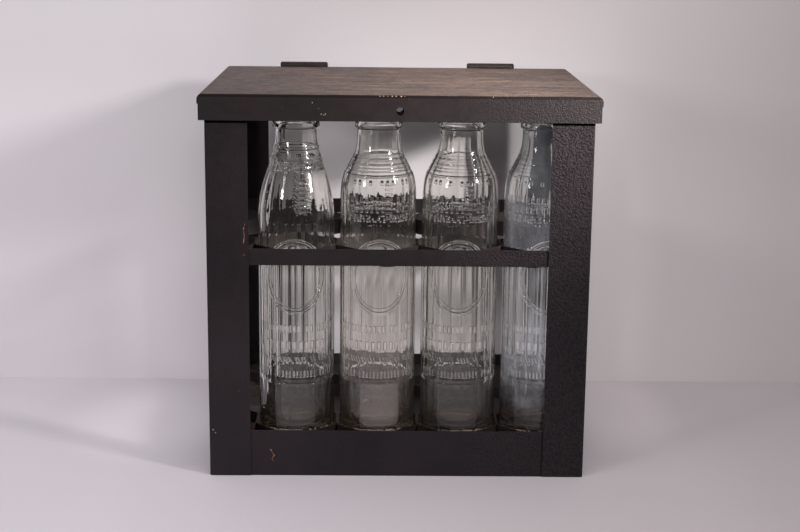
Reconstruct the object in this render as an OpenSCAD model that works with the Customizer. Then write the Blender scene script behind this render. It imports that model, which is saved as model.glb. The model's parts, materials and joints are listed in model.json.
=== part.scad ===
// Milk bottle crate: an open sheet-steel frame on four angle posts, two levels of
// zig-zag locating strips that make a staggered honeycomb of round-bottle cells,
// a hinged flanged lid and one row of tall glass milk bottles.
// Frame: X to the right, Y to the back, Z up, origin on the ground under the
// middle of the overall box.

/* [Frame] */
// Width over the corner posts
crate_w = 406.4; // [396:0.2:416]
// Depth over the corner posts
crate_d = 310; // [306:0.5:318]
// Thickness of the posts, rails, floor and lid sheet
sheet_t = 1.2; // [1:0.05:1.3]
// Leg width of the angle posts, 1 3/4 in
post_leg = 44.45; // [38:0.05:46]
// Height of the bottom rails, 2 in
bottom_rail_h = 51; // [46:0.5:54]
// Width of the inward lip under the bottom rails, which the crate stands on
bottom_lip = 12; // [8:0.5:16]
// Underside height of the middle rails
mid_rail_z = 234.5; // [220:0.5:250]
// Height of the middle rails
mid_rail_h = 17.7; // [14:0.1:22]
// Underside height of the side top rails, and the level the rear one is set from
top_rail_z = 384; // [380:0.5:388]
// Underside height of the front top rail, hidden behind the lid's flange
front_rail_z = 389; // [388:0.5:392]
// Top edge height of the front and side top rails
top_rail_top = 408; // [406:0.5:410]
// Top edge height of the rear top rail, which carries the hinges
rear_rail_top = 412; // [408:0.5:412]

/* [Cells] */
// Cell pitch along a row
cell_pitch = 88.4; // [88:0.1:89]
// Distance between neighbouring rows
row_pitch = 73.4; // [73:0.1:74]
// Half length of the straight wall between two cells
wall_half = 18; // [16:0.5:19]
// Thickness of the locating strips
strip_t = 0.8; // [0.6:0.05:1]
// Height of the middle locating strips
mid_strip_h = 17.2; // [14:0.1:17.4]
// Top surface of the raised floor
floor_z = 38; // [34:0.5:40]
// Bend radius of the locating strips
strip_bend = 5; // [3:0.5:6]

/* [Lid] */
// Top surface of the lid
lid_top = 415.6; // [415.6:0.1:416]
// Overall width of the lid over its side flanges
lid_w = 421.2; // [416:0.2:424]
// Depth of the front flange measured from the lid top
front_flange = 27.3; // [24:0.1:29]
// Depth of the side flanges measured from the lid top
side_flange = 10.5; // [8:0.1:14]
// Outside bend radius of the front flange
lid_bend = 2.6; // [2:0.1:4]
// Outside bend radius of the side flanges
side_bend = 6; // [4:0.5:7]
// Height of the seal hole in the front flange
seal_hole_z = 399.2; // [397:0.1:400]
// Diameter of the seal hole in the front flange
seal_hole_d = 8.4; // [6:0.1:9]
// How far the matching hole in the front top rail sits above the seal hole
rail_hole_up = 3.2; // [0:0.1:3.5]

/* [Hinges] */
// Length of each hinge
hinge_len = 58; // [50:1:64]
// Distance of each hinge's centre from the middle of the crate
hinge_x = 114.5; // [100:0.5:120]
// Outside radius of the knuckles
knuckle_r = 4; // [3.8:0.1:4]
// Radius of the hinge pin
pin_r = 2.4; // [2:0.1:2.4]
// Radial clearance between the pin and the knuckles
pin_clear = 0.05; // [0.02:0.01:0.08]
// Side gap between neighbouring knuckles
knuckle_gap = 0.15; // [0.1:0.05:0.4]
// Thickness of the peened heads on the hinge pins
pin_head = 1.6; // [1:0.1:2]

/* [Bottles] */
// Radius of the bottle body
bottle_r = 41.2; // [40:0.1:41.4]
// Height of a bottle
bottle_h = 346.5; // [336:0.5:350]
// Glass thickness of the body
glass_t = 3.4; // [2.6:0.1:4]
// Outside radius of the lip
lip_r = 25.4; // [24:0.1:26]

/* [Hidden] */
$fn = 96;

charcoal = [0.13, 0.12, 0.12];
worn = [0.30, 0.27, 0.25];
steel = [0.42, 0.40, 0.38];
glass = [0.80, 0.84, 0.82, 0.35];

gap = 0.05;       // clearance between touching pieces
rest_gap = 0.1;   // height left under the lid sheet and the floor's rim
overshoot = 1;    // how far a cutter runs past the surface it opens

// The parts are drawn with Y measured from the front face of the posts;
// placed() then centres the overall box.
half_w = crate_w / 2;
lid_front_y = -2.5;                  // outer face of the lid's front flange
hinge_y = crate_d + 2.85;            // hinge axis
hinge_z = lid_top + 1.8;
mid_y = (lid_front_y + hinge_y + knuckle_r) / 2;

module placed() {
    translate([0, -mid_y, 0]) children();
}

// A piece drawn at the front, moved to the rear if rear is true
module to_rear(rear) {
    translate([0, rear ? crate_d : 0, 0]) mirror([0, rear ? 1 : 0, 0]) children();
}

// A piece drawn at the left, moved to the right if right is true
module to_right(right) {
    mirror([right ? 1 : 0, 0, 0]) children();
}

// Quarter ring of sheet round a bend's centre: its left side, upper or lower half
module quarter_bend(centre, radius, upper) {
    translate(centre) difference() {
        intersection() {
            circle(r = radius);
            translate([-radius, upper ? 0 : -radius]) square(radius);
        }
        circle(r = radius - sheet_t);
    }
}

// Round hole cutter that runs to the back from the given point
module seal_bore(start, length) {
    translate(start) rotate([-90, 0, 0]) cylinder(h = length, r = seal_hole_d / 2);
}

// ---- frame ----
post_top = lid_top - sheet_t - rest_gap;
rail_outer = sheet_t + gap;             // outer face of a rail, inside a post leg
rail_inner = rail_outer + sheet_t;      // inner face of a rail
inside_half_w = half_w - rail_inner - 0.2;    // half width that fits between the side rails
inside_y = rail_inner + 0.15;           // where a piece between the long rails starts
lip_end_y = rail_outer + bottom_lip + 0.5;    // side lips stop short of the long lips
rear_rail_drop = 4;                     // rear top rail reaches this far below top_rail_z
rail_hole_x = -1.2;
rail_hole_len = 6;

// L section with a rounded heel, corner at the origin, legs along +x and +y
module angle_section() {
    heel_r = 2 * sheet_t;
    translate([heel_r, 0]) square([post_leg - heel_r, sheet_t]);
    translate([0, heel_r]) square([sheet_t, post_leg - heel_r]);
    quarter_bend([heel_r, heel_r], heel_r, upper = false);
}

module post(right, rear) {
    color(charcoal) placed() to_right(right) to_rear(rear)
        translate([-half_w, 0, 0]) linear_extrude(post_top) angle_section();
}

// Straight bar along X whose outer face is at the rail plane of the front
module front_bar(z, height, depth = sheet_t) {
    translate([-inside_half_w, rail_outer, z]) cube([2 * inside_half_w, depth, height]);
}

// Straight bar along Y at the left side, as far from the rear as y is from the front
module left_bar(z, height, width = sheet_t, y = inside_y) {
    translate([-half_w + rail_outer, y, z]) cube([width, crate_d - 2 * y, height]);
}

module bottom_rail_long(rear) {
    color(charcoal) placed() to_rear(rear) union() {
        front_bar(0, bottom_rail_h);
        front_bar(0, sheet_t, depth = bottom_lip);
    }
}

module bottom_rail_short(right) {
    color(charcoal) placed() to_right(right) union() {
        left_bar(0, bottom_rail_h);
        left_bar(0, sheet_t, width = bottom_lip, y = lip_end_y);
    }
}

module mid_rail_long(rear) {
    color(charcoal) placed() to_rear(rear) front_bar(mid_rail_z, mid_rail_h);
}

module mid_rail_short(right) {
    color(charcoal) placed() to_right(right) left_bar(mid_rail_z, mid_rail_h);
}

// The hole lets a seal wire pass on through
module top_rail_front() {
    color(charcoal) placed() difference() {
        front_bar(front_rail_z, top_rail_top - front_rail_z);
        seal_bore([rail_hole_x, 0, seal_hole_z + rail_hole_up], rail_hole_len);
    }
}

module top_rail_rear() {
    z = top_rail_z - rear_rail_drop;
    color(charcoal) placed() to_rear(true) front_bar(z, rear_rail_top - z);
}

module top_rail_short(right) {
    color(charcoal) placed() to_right(right) left_bar(top_rail_z, top_rail_top - top_rail_z);
}

// Raised floor: a shallow tray upside down, standing on the lips of the bottom rails
module floor_pan() {
    rim_z = sheet_t + rest_gap;
    hollow_half_w = inside_half_w - sheet_t;
    hollow_y = inside_y + sheet_t;
    color(charcoal) placed() difference() {
        translate([-inside_half_w, inside_y, rim_z])
            cube([2 * inside_half_w, crate_d - 2 * inside_y, floor_z - rim_z]);
        translate([-hollow_half_w, hollow_y, rim_z - overshoot])
            cube([2 * hollow_half_w, crate_d - 2 * hollow_y,
                  floor_z - sheet_t - rim_z + overshoot]);
    }
}

// ---- locating strips ----
row_y = [for (i = [0:3]) crate_d / 2 + (i - 1.5) * row_pitch];    // rows 1 to 4, front first
odd_wall_x = [for (k = [0:4]) (k - 1.75) * cell_pitch];           // walls in rows 1 and 3
even_wall_x = [for (x = odd_wall_x) x - cell_pitch / 2];          // walls in rows 2 and 4
strip_off = strip_t / 2 + gap;       // half the distance between two strips back to back
foot_y = rail_inner + gap + strip_t / 2;    // middle of a foot lying against a long rail
foot_len = 10;
mid_strip_up = 0.3;                  // middle strips start this far above their rails' underside
bend_steps = 4;

function unit(v) = v / norm(v);
function left_of(v) = [-v[1], v[0]];
function backwards(path) = [for (i = [len(path) - 1:-1:0]) path[i]];

// Points of an arc that rounds one corner of a path
function bend(before, corner, after, radius) =
    let (dir_in = unit(corner - before),
         dir_out = unit(after - corner),
         turn = cross(dir_in, dir_out) > 0 ? 1 : -1,
         angle = acos(dir_in * dir_out),
         start = corner - dir_in * radius * tan(angle / 2),
         centre = start + left_of(dir_in) * turn * radius,
         from = atan2(start[1] - centre[1], start[0] - centre[0]))
    [for (i = [0:bend_steps])
        let (a = from + turn * angle * i / bend_steps)
        centre + radius * [cos(a), sin(a)]];

function rounded(path, radius) =
    concat([path[0]],
           [for (i = [1:len(path) - 2])
               each bend(path[i - 1], path[i], path[i + 1], radius)],
           [path[len(path) - 1]]);

// The path moved to its left by distance, mitred at each point
function shifted(path, distance) =
    [for (i = [0:len(path) - 1])
        let (dir_in = i == 0 ? unit(path[1] - path[0]) : unit(path[i] - path[i - 1]),
             dir_out = i == len(path) - 1 ? dir_in : unit(path[i + 1] - path[i]),
             mitre = unit(left_of(dir_in) + left_of(dir_out)))
        path[i] + mitre * distance / (mitre * left_of(dir_in))];

// Middle line of a strip from the front rail to the rear rail. It follows the cell
// wall at odd_x in rows 1 and 3, and the wall at even_x, half a pitch to one side,
// in rows 2 and 4. Each end slants at 45 degrees to a foot along the rail.
function strip_path(odd_x, even_x) =
    let (dir = even_x > odd_x ? 1 : -1,
         x_odd = odd_x + dir * strip_off,
         x_even = even_x - dir * strip_off,
         slant = row_y[0] - wall_half - foot_y,
         rear_foot_y = crate_d - foot_y)
    concat([[x_odd + dir * (slant + foot_len), foot_y],
            [x_odd + dir * slant, foot_y]],
           [for (i = [0:3]) for (end = [-1, 1])
               [i % 2 == 0 ? x_odd : x_even, row_y[i] + end * wall_half]],
           [[x_even - dir * slant, rear_foot_y],
            [x_even - dir * (slant + foot_len), rear_foot_y]]);

// Strip k of 0 to 8, counted from the left
module strip(k, z, height) {
    path = rounded(strip_path(odd_wall_x[floor(k / 2)], even_wall_x[ceil(k / 2)]), strip_bend);
    color(charcoal) placed() translate([0, 0, z]) linear_extrude(height)
        polygon(concat(shifted(path, strip_t / 2), backwards(shifted(path, -strip_t / 2))));
}

module mid_strip(k) {
    strip(k, mid_rail_z + mid_strip_up, mid_strip_h);
}

module base_strip(k) {
    strip(k, floor_z + gap, bottom_rail_h - floor_z - gap);
}

// ---- lid ----
lid_back_y = crate_d + 1;
bend_y = lid_front_y + lid_bend;     // where the front bend meets the top sheet
bend_overlap = 0.5;                  // the front bend's tail within the top sheet
flange_half_w = lid_w / 2 - 1.4;
flange_corner_r = side_bend - 1.3;
blank_h = 60;                        // front outline, taller than the flange
blank_half_d = 20;                   // front outline, deeper than the flange and bend
notch_side = 0.6;                    // room beside each hinge
notch_front = 4.85;                  // notch starts this far in front of the hinge axis
notch_below = 8;                     // notch starts this far below the lid top
notch_d = 20;
notch_h = 12;

// Top sheet and both side flanges, seen from the front
module lid_section() {
    half = lid_w / 2;
    translate([-half + side_bend, lid_top - sheet_t]) square([2 * (half - side_bend), sheet_t]);
    for (m = [0, 1]) mirror([m, 0]) {
        translate([-half, lid_top - side_flange]) square([sheet_t, side_flange - side_bend]);
        quarter_bend([-half + side_bend, lid_top - side_bend], side_bend, upper = true);
    }
}

// Front flange and its bend, seen from the right with depth along x
module front_flange_section() {
    translate([lid_front_y, lid_top - front_flange]) square([sheet_t, front_flange - lid_bend]);
    quarter_bend([bend_y, lid_top - lid_bend], lid_bend, upper = true);
    translate([bend_y, lid_top - sheet_t]) square([bend_overlap, sheet_t]);
}

// Front view of the front flange, with rounded top corners
module flange_outline() {
    half = flange_half_w;
    r = flange_corner_r;
    translate([-half, lid_top - blank_h]) square([2 * half, blank_h - r]);
    translate([-half + r, lid_top - r - 1]) square([2 * (half - r), r + 1]);
    for (side = [-1, 1]) translate([side * (half - r), lid_top - r]) circle(r = r);
}

module lid_pan() {
    color(worn) placed() difference() {
        union() {
            // top sheet with the two side flanges
            translate([0, lid_back_y, 0]) rotate([90, 0, 0])
                linear_extrude(lid_back_y - bend_y) lid_section();
            // front flange, its top corners rounded to follow the side bends
            intersection() {
                translate([-lid_w / 2, 0, 0]) rotate([90, 0, 90])
                    linear_extrude(lid_w) front_flange_section();
                translate([0, lid_front_y + blank_half_d, 0]) rotate([90, 0, 0])
                    linear_extrude(2 * blank_half_d) flange_outline();
            }
        }
        seal_bore([0, lid_front_y - overshoot, seal_hole_z], sheet_t + 2 * overshoot);
        // notches that clear the hinge knuckles
        for (side = [-1, 1])
            translate([side * hinge_x - hinge_len / 2 - notch_side,
                       hinge_y - notch_front, lid_top - notch_below])
                cube([hinge_len + 2 * notch_side, notch_d, notch_h]);
    }
}

// ---- hinges ----
// side is -1 for the left hinge and 1 for the right one
barrel_len = hinge_len - 2 * (pin_head + knuckle_gap);
knuckle_len = (barrel_len - 4 * knuckle_gap) / 5;
frame_leaf_t = 1.2;
frame_leaf_relief = 4.6;     // frame leaf's plate stops this far below the axis
lid_leaf_t = 0.9;
lid_leaf_d = 28;             // from the lid leaf's front edge to the axis
lid_leaf_relief = 4.5;       // lid leaf's plate stops this far in front of the axis

// A plate with a tab up to each of the listed knuckles. front_y and z place the
// plate's lower front edge; plate and tab are [depth, height].
module hinge_leaf(side, knuckles, front_y, z, plate, tab) {
    color(charcoal) placed() translate([side * hinge_x, 0, 0]) difference() {
        union() {
            translate([-barrel_len / 2, front_y, z]) cube([barrel_len, plate[0], plate[1]]);
            for (i = knuckles)
                translate([-barrel_len / 2 + i * (knuckle_len + knuckle_gap), 0, 0]) {
                    translate([0, hinge_y, hinge_z]) rotate([0, 90, 0])
                        cylinder(h = knuckle_len, r = knuckle_r);
                    translate([0, front_y, z]) cube([knuckle_len, tab[0], tab[1]]);
                }
        }
        translate([-hinge_len / 2 - overshoot, hinge_y, hinge_z]) rotate([0, 90, 0])
            cylinder(h = hinge_len + 2 * overshoot, r = pin_r + pin_clear);
    }
}

// Upright leaf on the rear top rail
module hinge_frame_leaf(side) {
    height = hinge_z - top_rail_z;
    hinge_leaf(side, [0, 2, 4], front_y = hinge_y - knuckle_r + 0.1, z = top_rail_z,
               plate = [frame_leaf_t, height - frame_leaf_relief],
               tab = [frame_leaf_t, height]);
}

// Flat leaf on the lid
module hinge_lid_leaf(side) {
    hinge_leaf(side, [1, 3], front_y = hinge_y - lid_leaf_d, z = hinge_z - knuckle_r + gap,
               plate = [lid_leaf_d - lid_leaf_relief, lid_leaf_t],
               tab = [lid_leaf_d, lid_leaf_t]);
}

// Plain pin with a domed, peened head at each end
module hinge_pin(side) {
    head_r = knuckle_r - 0.15;
    // [radius, distance from the pin's end]
    head = [[0, 0], [head_r - 1.9, 0], [head_r - 0.8, 0.35], [head_r, 1.15],
            [head_r, pin_head], [pin_r, pin_head]];
    color(steel) placed()
        translate([side * hinge_x - hinge_len / 2, hinge_y, hinge_z]) rotate([0, 90, 0])
            rotate_extrude()
                polygon(concat(head, [for (p = backwards(head)) [p[0], hinge_len - p[1]]]));
}

// ---- bottles ----
bottle_x = [for (k = [0:3]) odd_wall_x[k] + cell_pitch / 2];    // middles of row 1's cells
shoulder_steps = 10;

// Shoulder curve from body_r at z0 to neck_r at z1, as [radius, height] points;
// fullness blends from a plain S curve at 0 to a full, late-turning one at 1
function shoulder(body_r, z0, neck_r, z1, fullness) =
    [for (i = [0:shoulder_steps])
        let (u = i / shoulder_steps, ease = (1 - cos(180 * u)) / 2)
        [body_r + (neck_r - body_r) * (ease * (1 - fullness) + u * u * fullness),
         z0 + (z1 - z0) * u]];

// Outside from the middle of the base to the lip, as [radius, height] points
function bottle_outside(neck_r, z0, z1, fullness) =
    concat([[0, 2.5], [bottle_r - 16, 2.5], [bottle_r - 9, 0], [bottle_r - 4, 0],
            [bottle_r - 1.2, 1.2], [bottle_r, 4]],
           shoulder(bottle_r, z0, neck_r, z1, fullness),
           [[neck_r, bottle_h - 9.5], [lip_r - 0.4, bottle_h - 8.2], [lip_r, bottle_h - 7],
            [lip_r, bottle_h - 2.5], [lip_r - 1.6, bottle_h - 0.4],
            [lip_r - 2.6, bottle_h]]);

// Inside from the mouth down to the middle of the base, as [radius, height] points
function bottle_inside(neck_r, z0, z1, fullness) =
    let (body = bottle_r - glass_t, neck = neck_r - glass_t)
    concat([[neck, bottle_h]],
           backwards(shoulder(body, z0, neck, z1, fullness)),
           [[body, 14], [body - 5, 8.5], [body - 12, 7.5], [0, 7.5]]);

// Bottle i of the front row, its shoulder running from height z0 to z1
module bottle(i, neck_r, z0, z1, fullness) {
    color(glass) placed() translate([bottle_x[i], row_y[0], floor_z + gap])
        rotate_extrude() polygon(concat(bottle_outside(neck_r, z0, z1, fullness),
                                        bottle_inside(neck_r, z0, z1, fullness)));
}

// Bottle 1 has a long sloping shoulder, the others a short full one
module bottle_long_shoulder(i) {
    bottle(i, neck_r = 22, z0 = 228, z1 = 316, fullness = 0.15);
}

module bottle_short_shoulder(i) {
    bottle(i, neck_r = 23.3, z0 = 262, z1 = 317, fullness = 0.75);
}

post(false, false);  // post_front_left
post(true, false);  // post_front_right
post(false, true);  // post_rear_left
post(true, true);  // post_rear_right
bottom_rail_long(false);  // bottom_rail_front
bottom_rail_long(true);  // bottom_rail_rear
bottom_rail_short(false);  // bottom_rail_left
bottom_rail_short(true);  // bottom_rail_right
mid_rail_long(false);  // mid_rail_front
mid_rail_long(true);  // mid_rail_rear
mid_rail_short(false);  // mid_rail_left
mid_rail_short(true);  // mid_rail_right
top_rail_front();
top_rail_rear();
top_rail_short(false);  // top_rail_left
top_rail_short(true);  // top_rail_right
floor_pan();
mid_strip(0);  // mid_strip_1
mid_strip(1);  // mid_strip_2
mid_strip(2);  // mid_strip_3
mid_strip(3);  // mid_strip_4
mid_strip(4);  // mid_strip_5
mid_strip(5);  // mid_strip_6
mid_strip(6);  // mid_strip_7
mid_strip(7);  // mid_strip_8
mid_strip(8);  // mid_strip_9
base_strip(0);  // base_strip_1
base_strip(1);  // base_strip_2
base_strip(2);  // base_strip_3
base_strip(3);  // base_strip_4
base_strip(4);  // base_strip_5
base_strip(5);  // base_strip_6
base_strip(6);  // base_strip_7
base_strip(7);  // base_strip_8
base_strip(8);  // base_strip_9
lid_pan();
hinge_frame_leaf(-1);  // hinge_frame_leaf_left
hinge_frame_leaf(1);  // hinge_frame_leaf_right
hinge_lid_leaf(-1);  // hinge_lid_leaf_left
hinge_lid_leaf(1);  // hinge_lid_leaf_right
hinge_pin(-1);  // hinge_pin_left
hinge_pin(1);  // hinge_pin_right
bottle_long_shoulder(0);  // bottle_1
bottle_short_shoulder(1);  // bottle_2
bottle_short_shoulder(2);  // bottle_3
bottle_short_shoulder(3);  // bottle_4
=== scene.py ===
# An enamelled bottle crate with a lid and four clear glass bottles standing in a row along X.
# Metres, +Z up. The crate stands on the floor at z = 0, centred near x = 0, its front towards -Y.
import json
import math
from functools import reduce

import bmesh
import bpy
import numpy as np
from mathutils import Matrix, Vector


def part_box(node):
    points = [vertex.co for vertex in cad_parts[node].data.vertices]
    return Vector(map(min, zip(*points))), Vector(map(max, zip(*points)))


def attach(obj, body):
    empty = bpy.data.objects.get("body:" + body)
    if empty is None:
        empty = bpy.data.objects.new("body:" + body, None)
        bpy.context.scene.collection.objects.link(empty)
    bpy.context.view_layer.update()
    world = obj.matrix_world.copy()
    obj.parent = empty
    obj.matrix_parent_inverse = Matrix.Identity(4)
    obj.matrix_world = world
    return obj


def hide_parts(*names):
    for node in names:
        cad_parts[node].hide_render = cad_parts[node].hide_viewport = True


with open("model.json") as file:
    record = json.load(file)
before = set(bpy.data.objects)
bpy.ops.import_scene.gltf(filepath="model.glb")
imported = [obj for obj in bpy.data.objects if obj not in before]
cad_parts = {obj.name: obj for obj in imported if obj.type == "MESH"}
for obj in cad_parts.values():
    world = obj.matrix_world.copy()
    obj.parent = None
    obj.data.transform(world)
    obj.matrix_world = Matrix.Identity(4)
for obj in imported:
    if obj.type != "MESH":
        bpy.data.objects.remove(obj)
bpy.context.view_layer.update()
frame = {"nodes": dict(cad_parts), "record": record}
PIECES = frame["nodes"]
SLOTS = {part["node"]: part["material_slot"] for part in frame["record"]["subparts"]}
MM = 0.001

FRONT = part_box("post_front_left")[0].y      # front face of the posts
LID_FRONT = FRONT - 0.0025                  # front face of the lid flange
LID_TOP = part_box("lid_pan")[1].z
RAIL_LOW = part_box("mid_rail_front")[0]      # lower, front, left corner of the rail
BODY_RADIUS = 41.0                          # bottle body, mm


# ---------------------------------------------------------------- node building
class Value:
    """A node output. Arithmetic on it adds Math nodes; its methods reshape it."""

    def __init__(self, mat, socket):
        self.mat = mat
        self.socket = socket

    def math(self, operation, other=0.0):
        return self.mat.math(operation, self, other)

    def __add__(self, other):
        return self.math("ADD", other)

    def __radd__(self, other):
        return self.mat.math("ADD", other, self)

    def __sub__(self, other):
        return self.math("SUBTRACT", other)

    def __rsub__(self, other):
        return self.mat.math("SUBTRACT", other, self)

    def __mul__(self, other):
        return self.math("MULTIPLY", other)

    def __truediv__(self, other):
        return self.math("DIVIDE", other)

    def __abs__(self):
        return self.math("ABSOLUTE")

    def max(self, other):
        return self.math("MAXIMUM", other)

    def map_range(self, low, high, start, end, kind):
        return self.mat.value("ShaderNodeMapRange", {
            "Value": self, "From Min": low, "From Max": high, "To Min": start, "To Max": end,
        }, interpolation_type=kind)

    def step(self, low, high, start=0.0, end=1.0):
        """Smooth step from start (at low) to end (at high)."""
        return self.map_range(low, high, start, end, "SMOOTHSTEP")

    def ramp(self, low, high, start=0.0, end=1.0):
        """Straight ramp from start (at low) to end (at high)."""
        return self.map_range(low, high, start, end, "LINEAR")

    def band(self, low, high, soft):
        """1 between low and high, falling to 0 over soft outside."""
        return self.step(low - soft, low) * self.step(high, high + soft, 1.0, 0.0)

    def curve(self, points):
        """Straight runs through (position, value) points."""
        total = points[0][1]
        for (x0, y0), (x1, y1) in zip(points[:-1], points[1:]):
            total = total + self.ramp(x0, x1, 0.0, y1 - y0)
        return total


def hypot(a, b):
    return (a * a + b * b).math("SQRT")


class Material:
    """Builds a node material. Every node input takes a number, a colour, a socket or a Value."""

    def __init__(self, name):
        self.material = bpy.data.materials.new(name)
        self.material.use_nodes = True
        self.tree = self.material.node_tree
        self.tree.nodes.clear()
        self.place = self.value("ShaderNodeTexCoord", output="Object")
        self.x, self.y, self.z = self.split(self.place)

    def node(self, kind, inputs=None, **settings):
        node = self.tree.nodes.new(kind)
        for key, setting in settings.items():
            setattr(node, key, setting)
        for key, source in (inputs or {}).items():
            if isinstance(source, Value):
                source = source.socket
            if isinstance(source, bpy.types.NodeSocket):
                self.tree.links.new(source, node.inputs[key])
            else:
                node.inputs[key].default_value = source
        return node

    def value(self, kind, inputs=None, output=0, **settings):
        return Value(self, self.node(kind, inputs, **settings).outputs[output])

    def math(self, operation, a, b=0.0):
        return self.value("ShaderNodeMath", {0: a, 1: b, 2: 0.0}, operation=operation)

    def split(self, vector):
        return [Value(self, s) for s in self.node("ShaderNodeSeparateXYZ", {0: vector}).outputs]

    def normal_z(self):
        return self.split(self.value("ShaderNodeNewGeometry", output="Normal"))[2]

    def noise(self, scale, detail=3.0, rough=0.5, stretch=None, distortion=0.0):
        place = self.place
        if stretch:
            place = self.value("ShaderNodeMapping", {"Vector": place, "Scale": stretch})
        return self.value("ShaderNodeTexNoise", {
            "Vector": place, "Scale": scale, "Detail": detail, "Roughness": rough,
            "Distortion": distortion}, output="Fac")

    def mix(self, factor, under, over):
        """Blend two colours; inputs 6 and 7 are the node's colour pair."""
        under, over = (c + (1.0,) if isinstance(c, tuple) else c for c in (under, over))
        return self.value("ShaderNodeMix", {0: factor, 6: under, 7: over}, output=2,
                          data_type="RGBA")

    def coats(self, color, *layers):
        """Lay (amount, colour) layers over a colour, one after the other."""
        for amount, over in layers:
            color = self.mix(amount, color, over)
        return color

    def scaled(self, color, factor):
        return self.value("ShaderNodeVectorMath", {0: color, "Scale": factor}, operation="SCALE")

    def bump(self, height, distance, strength=1.0, normal=None):
        inputs = {"Height": height, "Distance": distance, "Strength": strength}
        if normal is not None:
            inputs["Normal"] = normal
        return self.value("ShaderNodeBump", inputs)

    def spot(self, at, radius, ragged):
        """1 inside a ragged blob around a point, 0 outside."""
        away = self.value("ShaderNodeVectorMath", {0: self.place, 1: at}, output="Value",
                          operation="DISTANCE")
        away = away + (ragged - 0.5) * (radius * 1.6)
        return away.step(radius * 0.8, radius, 1.0, 0.0)

    def speckle(self, dark, light):
        """Two colours broken up very finely, for the inside of chips."""
        return self.mix(self.noise(700.0, detail=2.0).step(0.40, 0.62), dark, light)

    def principled(self, color, rough, normal, **inputs):
        inputs = {key.replace("_", " "): source for key, source in inputs.items()}
        return self.value("ShaderNodeBsdfPrincipled", {
            "Base Color": color, "Roughness": rough, "Normal": normal, **inputs})

    def mix_shader(self, factor, first, second):
        return self.value("ShaderNodeMixShader", {0: factor, 1: first, 2: second})

    def finish(self, shader):
        output = self.node("ShaderNodeOutputMaterial")
        self.tree.links.new(shader.socket, output.inputs["Surface"])
        return self.material


# ---------------------------------------------------------------- enamel
CHARCOAL = (0.0094, 0.0056, 0.0078)
RUST = (0.16, 0.055, 0.022)
CREAM = (0.30, 0.19, 0.12)
BARE = (0.25, 0.235, 0.22)
DUST = (0.115, 0.098, 0.088)

# Painted light and shade on the enamel against x: low on the crate, then high on it
PAINTED_LIGHT_LOW = ((-0.20, 1.15), (-0.05, 1.06), (0.06, 0.98), (0.13, 0.88), (0.20, 0.74))
PAINTED_LIGHT_HIGH = ((-0.20, 0.90), (-0.05, 0.97), (0.08, 0.96), (0.20, 0.89))
# How bright the lid top is against x: rubbed wear and a painted sheen
WEAR_AND_SHEEN = ((-0.21, 0.45), (-0.15, 0.49), (-0.08, 0.59), (0.0, 0.65), (0.08, 0.73), (0.13, 0.76),
          (0.18, 0.57), (0.21, 0.50))


def tone(base, gain, lift=0.0):
    return tuple(c * gain + lift for c in base)


def wrinkle(mat, grain):
    """Height (0 to 1) and strength of the enamel's soft cells, much stronger towards the right."""
    cells = mat.noise(500.0, detail=2.0, rough=0.55, distortion=0.3)
    fine = mat.noise(900.0, detail=2.0)
    skin = cells * 0.8 + fine * 0.2
    return skin.step(0.40, 0.60), mat.x.step(0.02, 0.17, 0.12, 1.0) * grain


def paint(name, base, dusty, rough=0.62, grain=1.0, rusty=0.0, chips=(), scuffs=()):
    """Wrinkled enamel with slow changes of tone, dust on upward faces and chips down to rust."""
    mat = Material(name)
    slow = mat.noise(11.0, detail=4.0, rough=0.55)
    mid = mat.noise(75.0, detail=4.0, rough=0.6)
    skin, strong = wrinkle(mat, grain)
    color = mat.coats(
        mat.mix(slow.step(0.32, 0.68), tone(base, 0.78), tone(base, 1.28)),
        (mid.step(0.45, 0.75) * 0.30, tone(base, 1.6, 0.002)),
        # wear and painted highlight on the high points of the texture, stronger towards the right
        (skin * 0.50 * strong, tone(base, 2.8, 0.008)))
    if rusty:
        stain = mat.noise(60.0, detail=5.0, rough=0.65).step(0.45, 0.68) * rusty
        color = mat.mix(stain, color, (0.085, 0.040, 0.020))
    up = mat.normal_z().step(0.55, 0.95)
    nicks = mat.noise(230.0, detail=2.0, rough=0.6).step(0.75, 0.80) * slow.step(0.4, 0.6)
    color = mat.coats(color,
                      (up * dusty * mid.step(0.2, 0.8), DUST),
                      (nicks * 0.40, (0.10, 0.085, 0.075)))
    if chips:
        ragged = mat.noise(420.0, rough=0.6)
        rust = reduce(Value.max, [mat.spot(at, radius, ragged) for at, radius in chips])
        rust = rust * mat.noise(560.0, detail=2.0).step(0.38, 0.54, 0.15, 0.9)
        scuff = reduce(Value.max, [mat.spot(at, radius, ragged) * 0.75 for at, radius in scuffs])
        color = mat.coats(color, (rust, mat.speckle(RUST, CREAM)), (scuff, BARE))
    # painted shadow: a near-black line on the posts, close under the lid flange
    flange_shadow = (mat.z.step(0.3846, 0.3860) * mat.z.step(0.3900, 0.3906, 1.0, 0.0)
             * mat.y.step(FRONT + 0.004, FRONT + 0.002))
    color = mat.mix(flange_shadow * 0.95, color, (0.0006, 0.0005, 0.0005))
    # painted light and shade: brighter to the left, darker to the right, most of all low down
    high = mat.z.step(0.10, 0.27)
    shade = mat.x.curve(PAINTED_LIGHT_LOW) * (1.0 - high) + mat.x.curve(PAINTED_LIGHT_HIGH) * high
    normal = mat.bump(skin * strong, distance=0.00080)
    normal = mat.bump(mid, distance=0.00025, strength=0.30, normal=normal)
    return mat.finish(mat.principled(
        color=mat.scaled(color, shade),
        rough=mid.ramp(0.3, 0.7, rough - 0.07, rough + 0.07) + up * 0.12,
        normal=normal,
        Specular_IOR_Level=flange_shadow.ramp(0.0, 1.0, 0.34, 0.02) * shade))


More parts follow.
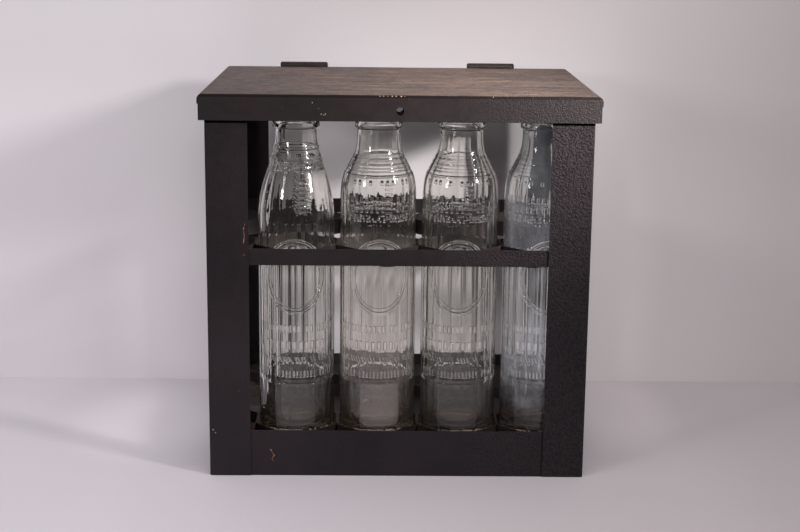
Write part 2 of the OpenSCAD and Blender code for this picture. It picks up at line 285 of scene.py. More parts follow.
def lid_paint(name, base, chips):
    """The same enamel, worn brown by rubbing and streaked on top under a painted sheen, chipped
    along the front bend.
    """
    mat = Material(name)
    normal_z = mat.normal_z()
    slow = mat.noise(9.0, detail=5.0, rough=0.6)
    mid = mat.noise(80.0, detail=4.0, rough=0.6)
    skin, strong = wrinkle(mat, 1.0)
    color = mat.mix(slow.step(0.3, 0.7), tone(base, 0.85), tone(base, 1.3))
    # wear and painted highlight on the wrinkle tops, stronger towards the right
    color = mat.mix(skin * 0.18 * strong, color, tone(base, 2.8, 0.010))
    # painted shade: the whole lid darker towards the left
    color = mat.scaled(color, mat.x.step(-0.21, 0.03, 0.74, 1.0))
    specks = mat.noise(260.0, detail=2.0, rough=0.6).step(0.73, 0.78)
    color = mat.mix(specks * 0.35, color, (0.14, 0.12, 0.10))

    # the top: rubbed wear with streaks and hairlines along x, dark and light patches, and a painted
    # sheen
    top = normal_z.step(0.75, 0.97) * mat.z.step(LID_TOP - 0.0008, LID_TOP - 0.0002)
    streak = mat.noise(1.0, detail=6.0, rough=0.66, stretch=(14, 110, 1))
    hair = mat.noise(1.0, rough=0.6, stretch=(45, 700, 1))
    blot = mat.noise(20.0, detail=6.0, rough=0.66, distortion=0.6)
    left = (mat.x.step(-0.19, -0.02, 1.0, 0.0)
            * mat.noise(13.0, detail=5.0, rough=0.6).step(0.42, 0.62))
    pits = mat.noise(300.0, rough=0.6).step(0.48, 0.62)
    scratches = mat.noise(1.0, rough=0.6, stretch=(120, 380, 1)).step(0.55, 0.68)
    brown = mat.coats(
        mat.mix(streak.step(0.34, 0.68), (0.066, 0.044, 0.034), (0.285, 0.190, 0.145)),
        (hair.step(0.50, 0.70) * 0.38, (0.34, 0.245, 0.195)),
        (blot.step(0.47, 0.62) * 0.60, (0.064, 0.053, 0.052)),
        (left * 0.55, (0.085, 0.078, 0.084)),
        (pits * 0.55, (0.045, 0.034, 0.031)),
        (scratches * 0.45, (0.40, 0.31, 0.26)))
    wear_and_sheen = mat.x.curve(WEAR_AND_SHEEN) * mat.y.step(FRONT + 0.045, FRONT + 0.004, 1.0, 0.84)

    # painted shade along the front bend: darker, with less shine
    bend = (mat.z.step(LID_TOP - 0.0034, LID_TOP - 0.0022) * normal_z.step(0.995, 0.95)
            * mat.y.step(FRONT + 0.004, FRONT + 0.002))
    ragged = mat.noise(420.0, rough=0.6)
    chipped = reduce(Value.max, [mat.spot(at, radius, ragged) for at, radius in chips])
    color = mat.coats(
        color,
        (top, mat.scaled(brown, wear_and_sheen)),
        (bend * mid.step(0.25, 0.6, 0.35, 0.85), (0.0080, 0.0058, 0.0055)),
        (chipped, mat.speckle((0.16, 0.11, 0.08), (0.34, 0.27, 0.22))))
    normal = mat.bump(skin * strong, distance=0.00019)
    normal = mat.bump(mid, distance=0.00030, strength=0.45, normal=normal)
    return mat.finish(mat.principled(
        color=color,
        rough=mid.ramp(0.3, 0.7, 0.52, 0.66) + top * streak.ramp(0.3, 0.7, -0.04, 0.14),
        normal=normal,
        Specular_IOR_Level=bend.ramp(0.0, 1.0, 0.38, 0.12)))


# ---------------------------------------------------------------- glass
def bottle_glass(name, heel, long_shoulder=False, film=0.0, film_color=(0.82, 0.765, 0.74),
                 film_z=(0.100, 0.300), patchy=False):
    """Clear pressed glass with a haze of strength film between the film_z heights.

    The relief too fine for the mesh is here, worked out from the distance round the body
    and the height above the base. heel is the extra haze on the plain heel panel.
    """
    mat = Material(name)
    z = mat.z
    around = mat.math("ARCTAN2", mat.x, mat.y * -1.0) * (BODY_RADIUS * MM)   # 0 at the front
    front = around.band(-0.054, 0.054, 0.004)

    def blocks(pitch, fill, low, high, gaps, lean=0.0):
        """A row of raised blocks; gaps is the share of them left out."""
        count = (around + z * lean + 5.0) / pitch
        off_centre = abs(count.math("FRACT") - 0.5)
        edge = 0.0007 / pitch
        row = off_centre.step(fill / 2 - edge / 2, fill / 2 + edge / 2, 1.0, 0.0)
        row = row * z.band(low, high, 0.0007) * front
        pick = mat.value("ShaderNodeTexWhiteNoise", {"W": count.math("FLOOR")}, output="Value",
                         noise_dimensions="1D")
        return row * pick.step(gaps - 0.01, gaps + 0.01)

    def oval(half_width, half_height, line, middle=0.1830):
        """A raised oval line centred on the front."""
        reach = ((around / half_width) * (around / half_width)
                 + ((z - middle) / half_height) * ((z - middle) / half_height)).math("SQRT")
        away = abs(reach - 1.0) * ((half_width + half_height) / 2)
        return away.step(line * 0.25, line * 0.75, 1.0, 0.0)

    rows = (blocks(pitch=0.0048, fill=0.50, low=0.1222, high=0.1290, gaps=0.14)
            + blocks(pitch=0.0066, fill=0.52, low=0.1032, high=0.1115, gaps=0.12)
            + blocks(pitch=0.0034, fill=0.45, low=0.0895, high=0.0945, gaps=0.15, lean=0.35) * 0.8
            + blocks(pitch=0.0040, fill=0.50, low=0.0722, high=0.0790, gaps=0.12) * 0.9)
    relief = rows + oval(0.0330, 0.0395, line=0.0024) * 1.0 + oval(0.0290, 0.0350, line=0.0014) * 0.6

    # a plain panel on the heel with rounded lower corners
    corner = hypot((abs(around) - 0.0135).max(0.0), (0.0255 - z).max(0.0))
    panel = corner.step(0.0085, 0.0095, 1.0, 0.0) * z.step(0.0645, 0.0655, 1.0, 0.0)
    relief = relief + panel * 0.30

    dots = mat.value("ShaderNodeTexVoronoi", {
        "Vector": mat.place, "Scale": 330.0, "Randomness": 0.6}, output="Distance")
    stipple = dots.step(0.22, 0.55, 1.0, 0.0)
    if long_shoulder:
        relief = (relief + stipple * 0.36 * z.band(0.2945, 0.3015, 0.003)
                  + stipple * 0.19 * z.band(0.252, 0.296, 0.004)
                  * around.band(0.001, 0.016, 0.004))
    else:
        relief = (relief
                  + blocks(pitch=0.0058, fill=0.50, low=0.2640, high=0.2690, gaps=0.15)
                  + blocks(pitch=0.0058, fill=0.50, low=0.2535, high=0.2590, gaps=0.12)
                  + blocks(pitch=0.0064, fill=0.45, low=0.2825, high=0.2865, gaps=0.25) * 0.5
                  + stipple * 0.35 * z.band(0.244, 0.249, 0.002))

    # short level lines, one above the other, a little to the right of the middle
    tick = abs((z / 0.0050).math("FRACT") - 0.5)
    relief = relief + (tick.step(0.16, 0.26, 1.0, 0.0) * around.band(0.0054, 0.0125, 0.0006)
                       * z.band(0.250, 0.285, 0.0005))
    # relief belongs to the outer skin only, not to the inside wall
    outer = hypot(mat.x, mat.y).step(0.0378, 0.0388)
    if long_shoulder:
        outer = outer.max(z.step(0.250, 0.256))
    relief = relief * outer

    drawn = mat.noise(30.0, detail=2.0, rough=0.4, stretch=(1, 1, 0.12))
    lumps = mat.noise(75.0, detail=2.0, stretch=(1, 1, 0.30))
    seeds = mat.noise(260.0, detail=2.0)
    normal = mat.bump(drawn, distance=0.0020, strength=0.40)
    normal = mat.bump(lumps, distance=0.0005, strength=0.10, normal=normal)
    normal = mat.bump(relief, distance=0.0015, normal=normal)
    normal = mat.bump(seeds, distance=0.00006, strength=0.30, normal=normal)

    # the glass is darker and browner towards the foot, most of all on its flanks
    flank = abs(around).step(0.019, 0.030, 0.30, 1.0)
    foot_darkening = mat.mix(z.step(0.052, 0.012) * flank, (0.985, 0.985, 0.972), (0.70, 0.655, 0.60))
    dirt = mat.noise(34.0, detail=5.0, rough=0.65).step(0.42, 0.75)
    glass = mat.value("ShaderNodeBsdfGlass", {
        "Color": foot_darkening, "IOR": 1.5, "Roughness": dirt.ramp(0, 1, 0.0, 0.03), "Normal": normal})

    haze = mat.principled(film_color + (1.0,), 0.5, normal)
    streaks = mat.noise(40.0, detail=4.0, rough=0.6, stretch=(1, 1, 0.25))
    veil = streaks.ramp(0.3, 0.7, film * 0.4, film * 1.7)
    if patchy:
        patches = mat.noise(30.0, rough=0.55, stretch=(1, 1, 0.55), distortion=0.5)
        veil = veil * patches.step(0.40, 0.60, 0.30, 1.75)
    low = z.band(0.022, 0.066, 0.014) * (0.0 if long_shoulder else 0.006)
    # haze amount: the relief and the raised rows get extra haze, partly frosted wear and partly a
    # painted highlight
    amount = (0.003 + dirt * 0.006 + z.band(*film_z, 0.012) * veil + low
              + relief * 0.09 + rows * outer * 0.13 + panel * heel)
    body = mat.mix_shader(amount, glass, haze)

    # shadow and diffuse rays pass straight through, a little dimmed
    clear = mat.value("ShaderNodeBsdfTransparent", {0: (0.955, 0.955, 0.95, 1.0)})
    rays = mat.node("ShaderNodeLightPath").outputs
    passing = mat.math("MAXIMUM", rays["Is Shadow Ray"], rays["Is Diffuse Ray"])
    return mat.finish(mat.mix_shader(passing, body, clear))


# ---------------------------------------------------------------- chips and materials
def on_front(x, z, radius):
    """A spot on the front face of the posts, all in millimetres."""
    return (x * MM, FRONT, z * MM), radius


def trail(points, radius, seed, face=0.0):
    """Small chips along a wandering line of (x, z) points, mm; face is metres behind FRONT."""
    rng = np.random.default_rng(seed)
    chips = []
    for (x0, z0), (x1, z1) in zip(points[:-1], points[1:]):
        count = max(2, int(math.hypot(x1 - x0, z1 - z0) / (radius * 1.1)))
        for i in range(count):
            along = i / count
            stray = rng.uniform(-0.35, 0.35, 2) * radius
            at = (MM * (x0 + along * (x1 - x0) + stray[0]), FRONT + face,
                  MM * (z0 + along * (z1 - z0) + stray[1]))
            chips.append((at, MM * radius * rng.uniform(0.55, 1.05)))
    return chips


FRAME_CHIPS = (
    trail([(-162.2, 279), (-163.8, 273), (-162.8, 266), (-164.0, 258)], radius=0.62, seed=1)
    + trail([(-137.0, 29.5), (-135.2, 25.0), (-133.2, 22.5), (-135.8, 19.0), (-134.0, 16.0)],
            radius=0.8, seed=2, face=0.00125)
    + [on_front(-163.6, 246, 0.0009), on_front(-171.0, 96, 0.0007), on_front(-196.0, 120, 0.0006)])
FRAME_SCUFFS = [on_front(-199.0, 52, 0.0010), on_front(-196.6, 48.5, 0.0008)]
# Chips along the lid's front bend: x, radius, mm
BEND_CHIPS = ((-21, 0.7), (-17.5, 0.9), (-13, 0.6), (-8.5, 0.9), (-4.5, 0.7), (1.0, 0.9),
              (4.5, 0.6), (96, 0.7))
# Chips on the flange below: x, depth under the lid top, radius, mm
FLANGE_CHIPS = ((-90.9, 8.0, 0.7), (-81.6, 20.0, 0.65), (-79.0, 20.8, 0.6), (-77.4, 19.6, 0.65),
                (-84.5, 14.0, 0.4))
LID_CHIPS = (
    [((x * MM, LID_FRONT + 0.0008, LID_TOP - 0.0009), radius * MM) for x, radius in BEND_CHIPS]
    + [((x * MM, LID_FRONT, LID_TOP - depth * MM), radius * MM)
       for x, depth, radius in FLANGE_CHIPS])

FRAME_PAINT = paint("frame_enamel", CHARCOAL, dusty=0.2, chips=FRAME_CHIPS, scuffs=FRAME_SCUFFS)
STRIP_PAINT = paint("strip_enamel", (0.0095, 0.0062, 0.0062), dusty=0.06, rough=0.50, grain=0.6,
                    rusty=0.16)
HINGE_PAINT = paint("hinge_enamel", (0.014, 0.010, 0.0095), dusty=0.15, rough=0.42, grain=0.25)
LID_PAINT = lid_paint("lid_enamel", (0.0112, 0.0073, 0.0084), LID_CHIPS)
GLASS_LONG = bottle_glass("bottle_glass_long", heel=-0.006, long_shoulder=True)
GLASS_HAZED = bottle_glass("bottle_glass_short_hazed", heel=0.034, film=0.025,
                           film_color=(0.86, 0.76, 0.70), film_z=(0.075, 0.215))
GLASS_SHORT = bottle_glass("bottle_glass_short", heel=-0.024, film=0.006)
GLASS_CLOUDY = bottle_glass("bottle_glass_short_cloudy", heel=-0.024, film=0.057,
                            film_color=(0.72, 0.76, 0.84), film_z=(0.044, 0.340), patchy=True)

# ---------------------------------------------------------------- crate pieces
BY_SLOT = {"frame_paint": FRAME_PAINT, "strip_paint": STRIP_PAINT, "lid_paint": LID_PAINT,
           "hinge_paint": HINGE_PAINT, "bottle_glass": GLASS_SHORT}
EDGE, STRIP_EDGE = 0.00035, 0.00022         # bevel widths

for name, piece in PIECES.items():
    piece.data.materials.clear()
    piece.data.materials.append(BY_SLOT[SLOTS[name]])
    for face in piece.data.polygons:
        face.material_index = 0
    if SLOTS[name] == "bottle_glass":
        continue
    for face in piece.data.polygons:
        face.use_smooth = True
    bevel = piece.modifiers.new("edge", "BEVEL")
    bevel.width = STRIP_EDGE if "strip" in name else EDGE
    bevel.segments = 2
    bevel.limit_method = "ANGLE"
    bevel.angle_limit = math.radians(50)
    bevel.harden_normals = True


def add_mesh_object(name, mesh, mat):
    mesh.materials.append(mat)
    obj = bpy.data.objects.new(name, mesh)
    bpy.context.scene.collection.objects.link(obj)
    return obj


# ---------------------------------------------------------------- bottles
# Outlines: height above the base, radius, mm
SHORT = [
    (4, 41.0), (240, 41.0), (262, 40.9), (275.5, 40.2), (282.5, 39.2), (289, 37.3), (295.5, 34.0),
    (302, 30.7), (308.5, 27.4), (312.5, 25.6), (317, 24.4), (322, 23.6), (328, 23.1),
    (339.0, 22.9)]
LONG = [
    (4, 41.0), (222, 41.0), (245, 40.9), (254, 40.2), (262, 39.4), (272, 37.4), (281, 34.9),
    (292, 31.3), (301, 28.6), (302.6, 28.6), (304.6, 28.5), (305.8, 27.3), (309.5, 26.0),
    (314.6, 24.4), (315.8, 24.2), (316.8, 24.9), (318.2, 24.8), (319.2, 23.7), (322, 22.9),
    (326, 22.3), (331, 22.0), (339.0, 21.9)]
# Rings round the short shoulder: height, half width, relief, mm
RIDGES = ((309.0, 0.8, 0.45), (303.4, 0.8, 0.50), (299.2, 0.7, 0.42), (296.3, 0.7, 0.42),
          (290.5, 0.8, 0.55))
# Underside from the push-up out to the heel: radius, height, mm
UNDERSIDE = ((6, 3.6), (14, 3.4), (22, 2.9), (27, 2.2), (30.5, 1.0), (32.3, 0.25), (34, 0.05),
             (36, 0.15), (38.2, 0.9), (39.8, 2.2), (40.6, 3.7))
# The rounded lip, outside to inside: radius, height, mm
LIP = ((24.7, 339.0), (25.25, 339.5), (25.4, 340.5), (25.4, 342.2), (25.2, 343.7), (24.7, 345.0),
       (23.9, 345.9), (22.9, 346.4), (21.9, 346.2), (21.0, 345.4), (20.4, 344.2))
# Unevenness of the inside wall: waves round the bottle, size in mm
WALL_WAVES = ((2, 0.30), (3, 0.26), (5, 0.22), (8, 0.16), (13, 0.11), (18, 0.12), (23, 0.06))
AROUND = 252            # points round a ring
FLUTES = 18
FLUTE_WIDTH = 14.3      # mm
DOT_ANGLE = 0.46        # either side of the front and back centres


def monotone(points, wanted):
    """Monotone cubic through the (position, value) points, read at the wanted positions."""
    xs, ys = np.array(points, float).T
    gap = np.diff(xs)
    rise = np.diff(ys) / gap
    slope = np.zeros(len(xs))
    for i in range(1, len(xs) - 1):
        if rise[i - 1] * rise[i] > 0:
            before, after = 2 * gap[i] + gap[i - 1], gap[i] + 2 * gap[i - 1]
            slope[i] = (before + after) / (before / rise[i - 1] + after / rise[i])
    slope[0], slope[-1] = rise[0], rise[-1]
    k = np.clip(np.searchsorted(xs, wanted) - 1, 0, len(xs) - 2)
    t = (wanted - xs[k]) / gap[k]
    return (ys[k] * (1 + 2 * t) * (1 - t) ** 2 + slope[k] * gap[k] * t * (1 - t) ** 2
            + ys[k + 1] * t * t * (3 - 2 * t) + slope[k + 1] * gap[k] * t * t * (t - 1))


def ease(v, low, high):
    t = np.clip((v - low) / (high - low), 0, 1)
    return t * t * (3 - 2 * t)


def hump(offset, half_width):
    return np.exp(-((offset / half_width) ** 2))


def outer_wall(outline, ridges, angles):
    """Heights and ring radii (heights by angles) of the outside, mm."""
    z = np.concatenate([np.linspace(5, 90, 60), np.linspace(91, 232, 84),
                        np.linspace(233, 338.0, 140)])
    plain = monotone(outline, z)
    for height, half_width, relief in ridges:
        plain = plain + relief * hump(z - height, half_width)
    # flat flutes up the body with a soft bead between them; the shoulder above is plain
    across = (angles * FLUTES / (2 * math.pi)) % 1.0 - 0.5
    facet = np.cos(math.pi / FLUTES) / np.cos(across * 2 * math.pi / FLUTES) - 1.0
    amount = ease(z, 3, 12) * (1 - ease(z, 232, 276))
    amount = amount * (1 - 0.85 * hump(z - 67.5, 2.4))
    beads = 0.34 * hump((0.5 - np.abs(across)) * FLUTE_WIDTH, 1.15) - 0.30
    radii = (plain[:, None] * (1 + 0.95 * facet[None, :] * amount[:, None])
             + beads[None, :] * amount[:, None])
    # a thin line round the body above the heel, and four small dots just under it
    radii = radii + 0.32 * hump(z - 69.6, 0.9)[:, None]
    for angle in (-DOT_ANGLE, DOT_ANGLE, math.pi - DOT_ANGLE, math.pi + DOT_ANGLE):
        away = np.angle(np.exp(1j * (angles - angle + math.pi / 2))) * BODY_RADIUS
        radii = radii + 1.0 * np.exp(-((away[None, :] / 1.4) ** 2)
                                     - ((z[:, None] - 65.0) / 1.4) ** 2)
    return z, np.minimum(radii, 41.15)


def inner_wall(outline, angles, seed):
    """Heights and ring radii of the inside, uneven in thickness, down to a thick heel, mm."""
    rng = np.random.default_rng(seed)
    z = np.linspace(333, 30, 110)
    plain = monotone(outline, z) - 3.6 + 1.6 * ease(z, 256, 330)
    plain = plain - (1 - ease(z, 22, 78)) * 2.0
    # waves: count, phase, drift with height, size
    waves = [(count, rng.uniform(0, 2 * math.pi), rng.uniform(-0.016, 0.016), size)
             for count, size in WALL_WAVES]
    fade = 0.35 + 0.65 * (1 - ease(z, 285, 330))
    radii = []
    for i in range(len(z)):
        wobble = sum(size * np.sin(count * angles + phase + drift * z[i])
                     for count, phase, drift, size in waves) * fade[i]
        wobble = np.minimum(wobble, 0.55) + 0.16 * math.sin(z[i] * 0.11 + seed)
        radii.append(plain[i] + wobble)
    return z, plain, radii


def bottle_mesh(name, outline, ridges, seed):
    """One closed skin: underside, outside, lip, inside wall and inside floor."""
    angles = np.arange(AROUND) * 2 * math.pi / AROUND
    verts = []
    starts = []

    def ring(radius, height):
        starts.append(len(verts))
        radius = np.broadcast_to(radius, (AROUND,))
        for r, angle in zip(radius, angles):
            verts.append((r * math.cos(angle) * MM, r * math.sin(angle) * MM, height * MM))

    for radius, height in UNDERSIDE:
        ring(radius, height)
    for height, radii in zip(*outer_wall(outline, ridges, angles)):
        ring(radii, height)
    neck = outline[-1][1]
    for radius, height in ((neck + 0.25, 338.3), (neck + 1.0, 338.7), *LIP,
                           (neck - 2.4, 341.0), (neck - 2.6, 337.0)):
        ring(radius, height)
    heights, plain, inner_radii = inner_wall(outline, angles, seed)
    for height, radii in zip(heights, inner_radii):
        ring(radii, height)
    # rounded inside corner, then the inside floor
    for k in range(1, 12):
        turn = k / 12 * math.pi / 2
        ring(plain[-1] - 13 * (1 - math.cos(turn)), 30 - 15 * math.sin(turn))
    for radius, height in ((17, 14.4), (11, 13.6), (5, 13.3)):
        ring(radius, height)

    faces = []
    for a, b in zip(starts[:-1], starts[1:]):
        for i in range(AROUND):
            j = (i + 1) % AROUND
            faces.append((a + i, a + j, b + j, b + i))
    under = len(verts)
    verts.append((0, 0, 3.65 * MM))
    inside = len(verts)
    verts.append((0, 0, 13.2 * MM))
    for i in range(AROUND):
        j = (i + 1) % AROUND
        faces.append((under, starts[0] + j, starts[0] + i))
        faces.append((inside, starts[-1] + i, starts[-1] + j))
    mesh = bpy.data.meshes.new(name)
    mesh.from_pydata(verts, [], faces)
    mesh.polygons.foreach_set("use_smooth", [True] * len(mesh.polygons))
    mesh.update()
    return mesh


# Left to right: outline, shoulder rings, glass, turn about z (radians)
BOTTLES = ((LONG, (), GLASS_LONG, 0.0), (SHORT, RIDGES, GLASS_HAZED, 0.06),
           (SHORT, RIDGES, GLASS_SHORT, -0.05), (SHORT, RIDGES, GLASS_CLOUDY, 0.16))
for i, (outline, ridges, glass, turn) in enumerate(BOTTLES, 1):
    low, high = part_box(f"bottle_{i}")
    mesh = bottle_mesh(f"bottle_{i}_glass", outline, ridges, seed=i)
    bottle = add_mesh_object(f"glass_bottle_{i}", mesh, glass)
    bottle.location = ((low.x + high.x) / 2, (low.y + high.y) / 2, low.z)
    bottle.rotation_euler = (0, 0, turn)
    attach(bottle, f"bottle_{i}")
    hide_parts(f"bottle_{i}")


# ---------------------------------------------------------------- weld beads
def weld(name, x, length, seed, radius=0.0011, segments=14):
    """A short rippled run along x, under the front middle rail."""
    rng = np.random.default_rng(seed)
    bm = bmesh.new()
    steps = max(3, int(length / (radius * 0.55))) * 3
    rows = []
    for i in range(steps + 1):
        along = i / steps
        swell = (math.sqrt(max(0.0, 1 - (2 * along - 1) ** 4))
                 * (1 + 0.10 * math.cos(2 * math.pi * i / 3))
                 * (1 + 0.07 * rng.standard_normal()))
        size = radius * max(swell, 0.04)
        row = []
        for j in range(segments):
            angle = 2 * math.pi * j / segments
            row.append(bm.verts.new((x + (along - 0.5) * length,
                                     RAIL_LOW.y + 0.0006 + size * math.cos(angle),
                                     RAIL_LOW.z - 0.0002 + size * math.sin(angle) * 0.7)))
        rows.append(row)
    for a, b in zip(rows[:-1], rows[1:]):
        for j in range(segments):
            k = (j + 1) % segments
            bm.faces.new((a[j], a[k], b[k], b[j]))
    bm.faces.new(rows[0][::-1])
    bm.faces.new(rows[-1])
    bmesh.ops.recalc_face_normals(bm, faces=bm.faces)
    mesh = bpy.data.meshes.new(name)
    bm.to_mesh(mesh)
    bm.free()
    mesh.polygons.foreach_set("use_smooth", [True] * len(mesh.polygons))
    obj = add_mesh_object(name, mesh, FRAME_PAINT)
    smooth = obj.modifiers.new("sub", "SUBSURF")
    smooth.levels = smooth.render_levels = 1
    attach(obj, "frame")


weld("weld_mid_front_1", x=-0.012, length=0.016, seed=3)
weld("weld_mid_front_2", x=0.142, length=0.014, seed=4)

# ---------------------------------------------------------------- stage
WALL = FRONT + 0.362
SIZE = 4                # half width of the sheets


def paper(mat, run, left, right, rough, across, along, along_right, patches):
    """Matt paper with painted light and shade, its brightness set against x (across) and run, which
    is y or z (along).

    Patches are soft ovals of painted light (gain above 0) and painted shadow (gain below 0): x, run,
    half width, half length, gain.
    """
    cloth = mat.noise(420.0, detail=2.0)
    side = mat.x.step(0.10, 0.34)
    main, far_right = run.curve(along), run.curve(along_right)
    bright = main + side * (far_right - main)
    bright = (mat.x.curve(across) * bright
              * mat.noise(1.7, detail=2.0).ramp(0.3, 0.7, 0.985, 1.015))
    for x, middle, half_width, half_length, gain in patches:
        away = hypot((mat.x - x) / half_width, (run - middle) / half_length)
        bright = bright * away.step(0.25, 1.0, 1.0 + gain, 1.0)
    color = mat.scaled(mat.mix(mat.x.step(-0.35, 0.35), left, right), bright)
    normal = mat.bump(cloth + mat.noise(16.0) * 6.0, distance=0.0004, strength=0.25)
    return mat.principled(color, rough, normal, Specular_IOR_Level=0.2)


def floor_paper():
    mat = Material("stage_floor")
    # the cloth ends in front of the crate for the glass only: the camera sees it go on, pale
    seen = mat.value("ShaderNodeLightPath", output="Is Camera Ray")
    return mat.finish(paper(
        mat, mat.y + seen * (mat.y.max(-0.50) - mat.y),
        left=(0.710, 0.672, 0.718), right=(0.715, 0.662, 0.692), rough=0.85,
        across=((-0.62, 0.92), (-0.30, 0.94), (-0.05, 0.81), (0.18, 0.68), (0.32, 0.61),
                (0.40, 0.545), (0.62, 0.43)),
        along=((-0.64, 0.03), (-0.56, 0.96), (-0.30, 0.96), (0.0, 0.97), (0.2, 0.99)),
        along_right=((-0.64, 0.03), (-0.56, 0.98), (-0.30, 0.98), (0.0, 1.02), (0.2, 1.08)),
        # painted light lifting the crate's shadows on the floor to its left and right
        patches=((-0.285, 0.030, 0.14, 0.18, 0.22), (0.275, 0.090, 0.09, 0.21, 0.20))))


def wall_paper():
    mat = Material("stage_wall")
    front = paper(
        mat, mat.z, left=(0.755, 0.724, 0.752), right=(0.770, 0.722, 0.732), rough=0.9,
        across=((-0.62, 0.97), (-0.35, 0.97), (-0.25, 0.93), (-0.18, 0.88), (-0.10, 0.87),
                (0.06, 0.825), (0.16, 0.813), (0.26, 0.78), (0.36, 0.672), (0.50, 0.538),
                (0.62, 0.48)),
        along=((0.0, 1.00), (0.15, 1.07), (0.34, 1.10), (0.44, 1.02), (0.6, 1.00)),
        along_right=((0.0, 0.96), (0.15, 1.00), (0.34, 0.99), (0.44, 0.98), (0.6, 0.98)),
        # painted light lifting the crate's shadows on the wall to its left and right
        patches=((-0.265, 0.10, 0.13, 0.22, 0.20), (0.285, 0.14, 0.08, 0.20, 0.10),
                 # painted light and shadow on what shows between the bottles
                 (-0.077, 0.300, 0.075, 0.075, 0.45), (-0.077, 0.110, 0.075, 0.110, 0.38),
                 (0.031, 0.345, 0.075, 0.060, -0.42), (0.031, 0.262, 0.075, 0.045, 0.12),
                 (0.031, 0.100, 0.070, 0.036, -0.24), (0.031, 0.150, 0.060, 0.034, 0.35),
                 (0.031, 0.030, 0.060, 0.044, 0.45), (0.131, 0.330, 0.070, 0.080, -0.42),
                 (0.131, 0.050, 0.070, 0.085, 1.00)))
    # the backdrop stands close behind the crate, so from behind it is see-through
    clear = mat.value("ShaderNodeBsdfTransparent", {0: (1.0, 1.0, 1.0, 1.0)})
    back = mat.value("ShaderNodeNewGeometry", output="Backfacing")
    return mat.finish(mat.mix_shader(back, front, clear))


def sheet(name, corners, mat):
    mesh = bpy.data.meshes.new(name)
    mesh.from_pydata(corners, [], [(0, 1, 2, 3)])
    obj = add_mesh_object(name, mesh, mat)
    return obj


floor = sheet("floor", [(x, y, -0.0003) for x, y in
                        ((-SIZE, -SIZE), (SIZE, -SIZE), (SIZE, SIZE), (-SIZE, SIZE))],
              floor_paper())
backdrop = sheet("backdrop", [(x, WALL, z) for x, z in
                              ((-SIZE, -0.01), (SIZE, -0.01), (SIZE, 3.2), (-SIZE, 3.2))],
                 wall_paper())


# ---------------------------------------------------------------- lights
def add_light(name, kind, at, direction, power, color, **settings):
    light = bpy.data.lights.new(name, kind)
    light.energy = power
    light.color = color
    for key, setting in settings.items():
        setattr(light, key, setting)
    obj = bpy.data.objects.new(name, light)
    obj.location = at
    obj.rotation_euler = direction.to_track_quat("-Z", "Y").to_euler()
    bpy.context.scene.collection.objects.link(obj)
    return obj


def soft_box(name, azimuth, elevation, distance, size, power, color):
    """Aimed at the crate; azimuth 0 is straight in front, + to the right, in degrees."""
    a, e = math.radians(azimuth), math.radians(elevation)
    out = Vector((math.sin(a) * math.cos(e), -math.cos(a) * math.cos(e), math.sin(e)))
    return add_light(name, "AREA", Vector((0, 0, 0.22)) + out * distance, -out, power, color,
                     shape="RECTANGLE", size=size[0], size_y=size[1])


def spot_light(name, at, target, power, color, cone, blend, radius, only, receivers):
    """A spot that lights only the receivers, kept in the collection called only."""
    lamp = add_light(name, "SPOT", at, Vector(target) - at, power, color,
                     spot_size=math.radians(cone), spot_blend=blend, shadow_soft_size=radius)
    group = bpy.data.collections.new(only)
    for obj in receivers:
        group.objects.link(obj)
    lamp.light_linking.receiver_collection = group


key = soft_box("key_right", azimuth=53, elevation=22, distance=2.45, size=(0.30, 0.38),
               power=27.0, color=(1.0, 0.965, 0.95))
soft_box("key_left", azimuth=-43, elevation=15, distance=2.3, size=(0.26, 0.42),
         power=8.0, color=(1.0, 0.97, 0.95))
fill = soft_box("fill_top", azimuth=-8, elevation=60, distance=2.6, size=(2.8, 1.6),
                power=36.0, color=(1.0, 0.965, 0.98))
fill.visible_glossy = False
fill.visible_transmission = False
# a small lamp close to the top right corner, raking over the enamel only
spot_light("kicker_right", at=Vector((0.52, FRONT - 0.25, 0.61)), target=(0.18, FRONT, 0.475),
           power=37.0, color=(1.0, 0.93, 0.89), cone=57, blend=1.0, radius=0.012,
           only="kicker_receivers",
           receivers=[o for name, o in PIECES.items() if SLOTS[name] != "bottle_glass"])
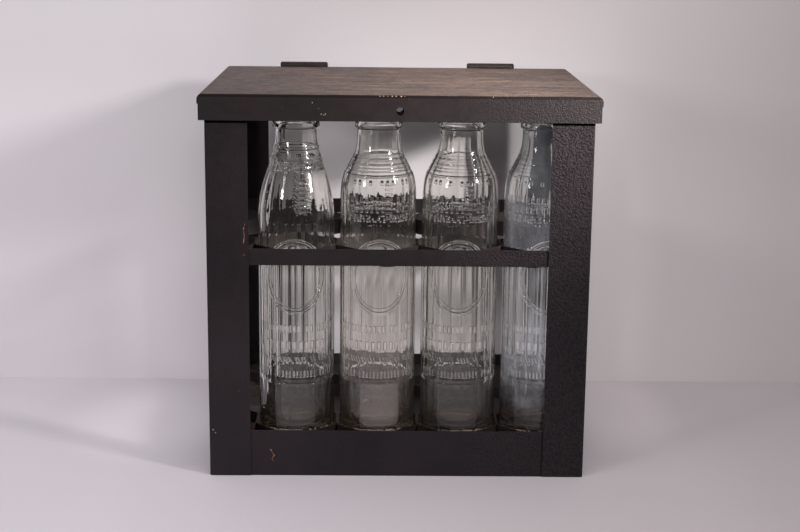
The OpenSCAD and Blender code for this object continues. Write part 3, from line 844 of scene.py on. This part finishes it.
# the hot middle of the right-hand key, shining onto the paper behind the bottles
spot_light("key_right_core", at=key.location, target=(0.0, WALL, 0.275),
           power=190.0, color=(1.0, 0.965, 0.95), cone=8.0, blend=0.7, radius=0.10,
           only="key_core_receivers", receivers=[floor, backdrop])

# The room: soft light on matt surfaces, but nearly dark in reflections and through glass
ROOM, ROOM_SHINY = 0.32, 0.035
world = bpy.data.worlds.new("studio")
bpy.context.scene.world = world
world.use_nodes = True
tree = world.node_tree
background = tree.nodes["Background"]
background.inputs["Color"].default_value = (0.93, 0.90, 0.93, 1)
background.inputs["Strength"].default_value = ROOM
path = tree.nodes.new("ShaderNodeLightPath")
shiny = tree.nodes.new("ShaderNodeMath")
shiny.operation = "MAXIMUM"
tree.links.new(path.outputs["Is Glossy Ray"], shiny.inputs[0])
tree.links.new(path.outputs["Is Transmission Ray"], shiny.inputs[1])
strength = tree.nodes.new("ShaderNodeMapRange")
strength.inputs["To Min"].default_value = ROOM
strength.inputs["To Max"].default_value = ROOM_SHINY
tree.links.new(shiny.outputs[0], strength.inputs["Value"])
tree.links.new(strength.outputs[0], background.inputs["Strength"])

# ---------------------------------------------------------------- camera
PITCH, YAW, ROLL = 12.63, 0.82, 0.60        # degrees


def turn_z(degrees):
    c, s = math.cos(math.radians(degrees)), math.sin(math.radians(degrees))
    return Matrix(((c, -s, 0), (s, c, 0), (0, 0, 1)))


c, s = math.cos(math.radians(PITCH)), math.sin(math.radians(PITCH))
tilt = Matrix(((1, 0, 0), (0, c, -s), (0, s, c)))
# rows of view: the camera's right, down and forward
look_along_y = Matrix(((1, 0, 0), (0, 0, -1), (0, 1, 0)))
view = turn_z(ROLL) @ tilt @ look_along_y @ turn_z(YAW)
camera_data = bpy.data.cameras.new("camera")
camera_data.sensor_width = 36.0
camera_data.lens = 69.102
camera = bpy.data.objects.new("camera", camera_data)
pose = Matrix((view[0], -view[1], -view[2])).transposed().to_4x4()
pose.translation = Vector((-0.02135, FRONT - 1.5854, 0.5903))
camera.matrix_world = pose
bpy.context.scene.collection.objects.link(camera)
bpy.context.scene.camera = camera
bpy.context.scene.view_settings.view_transform = "Standard"
bpy.context.scene.view_settings.look = "None"
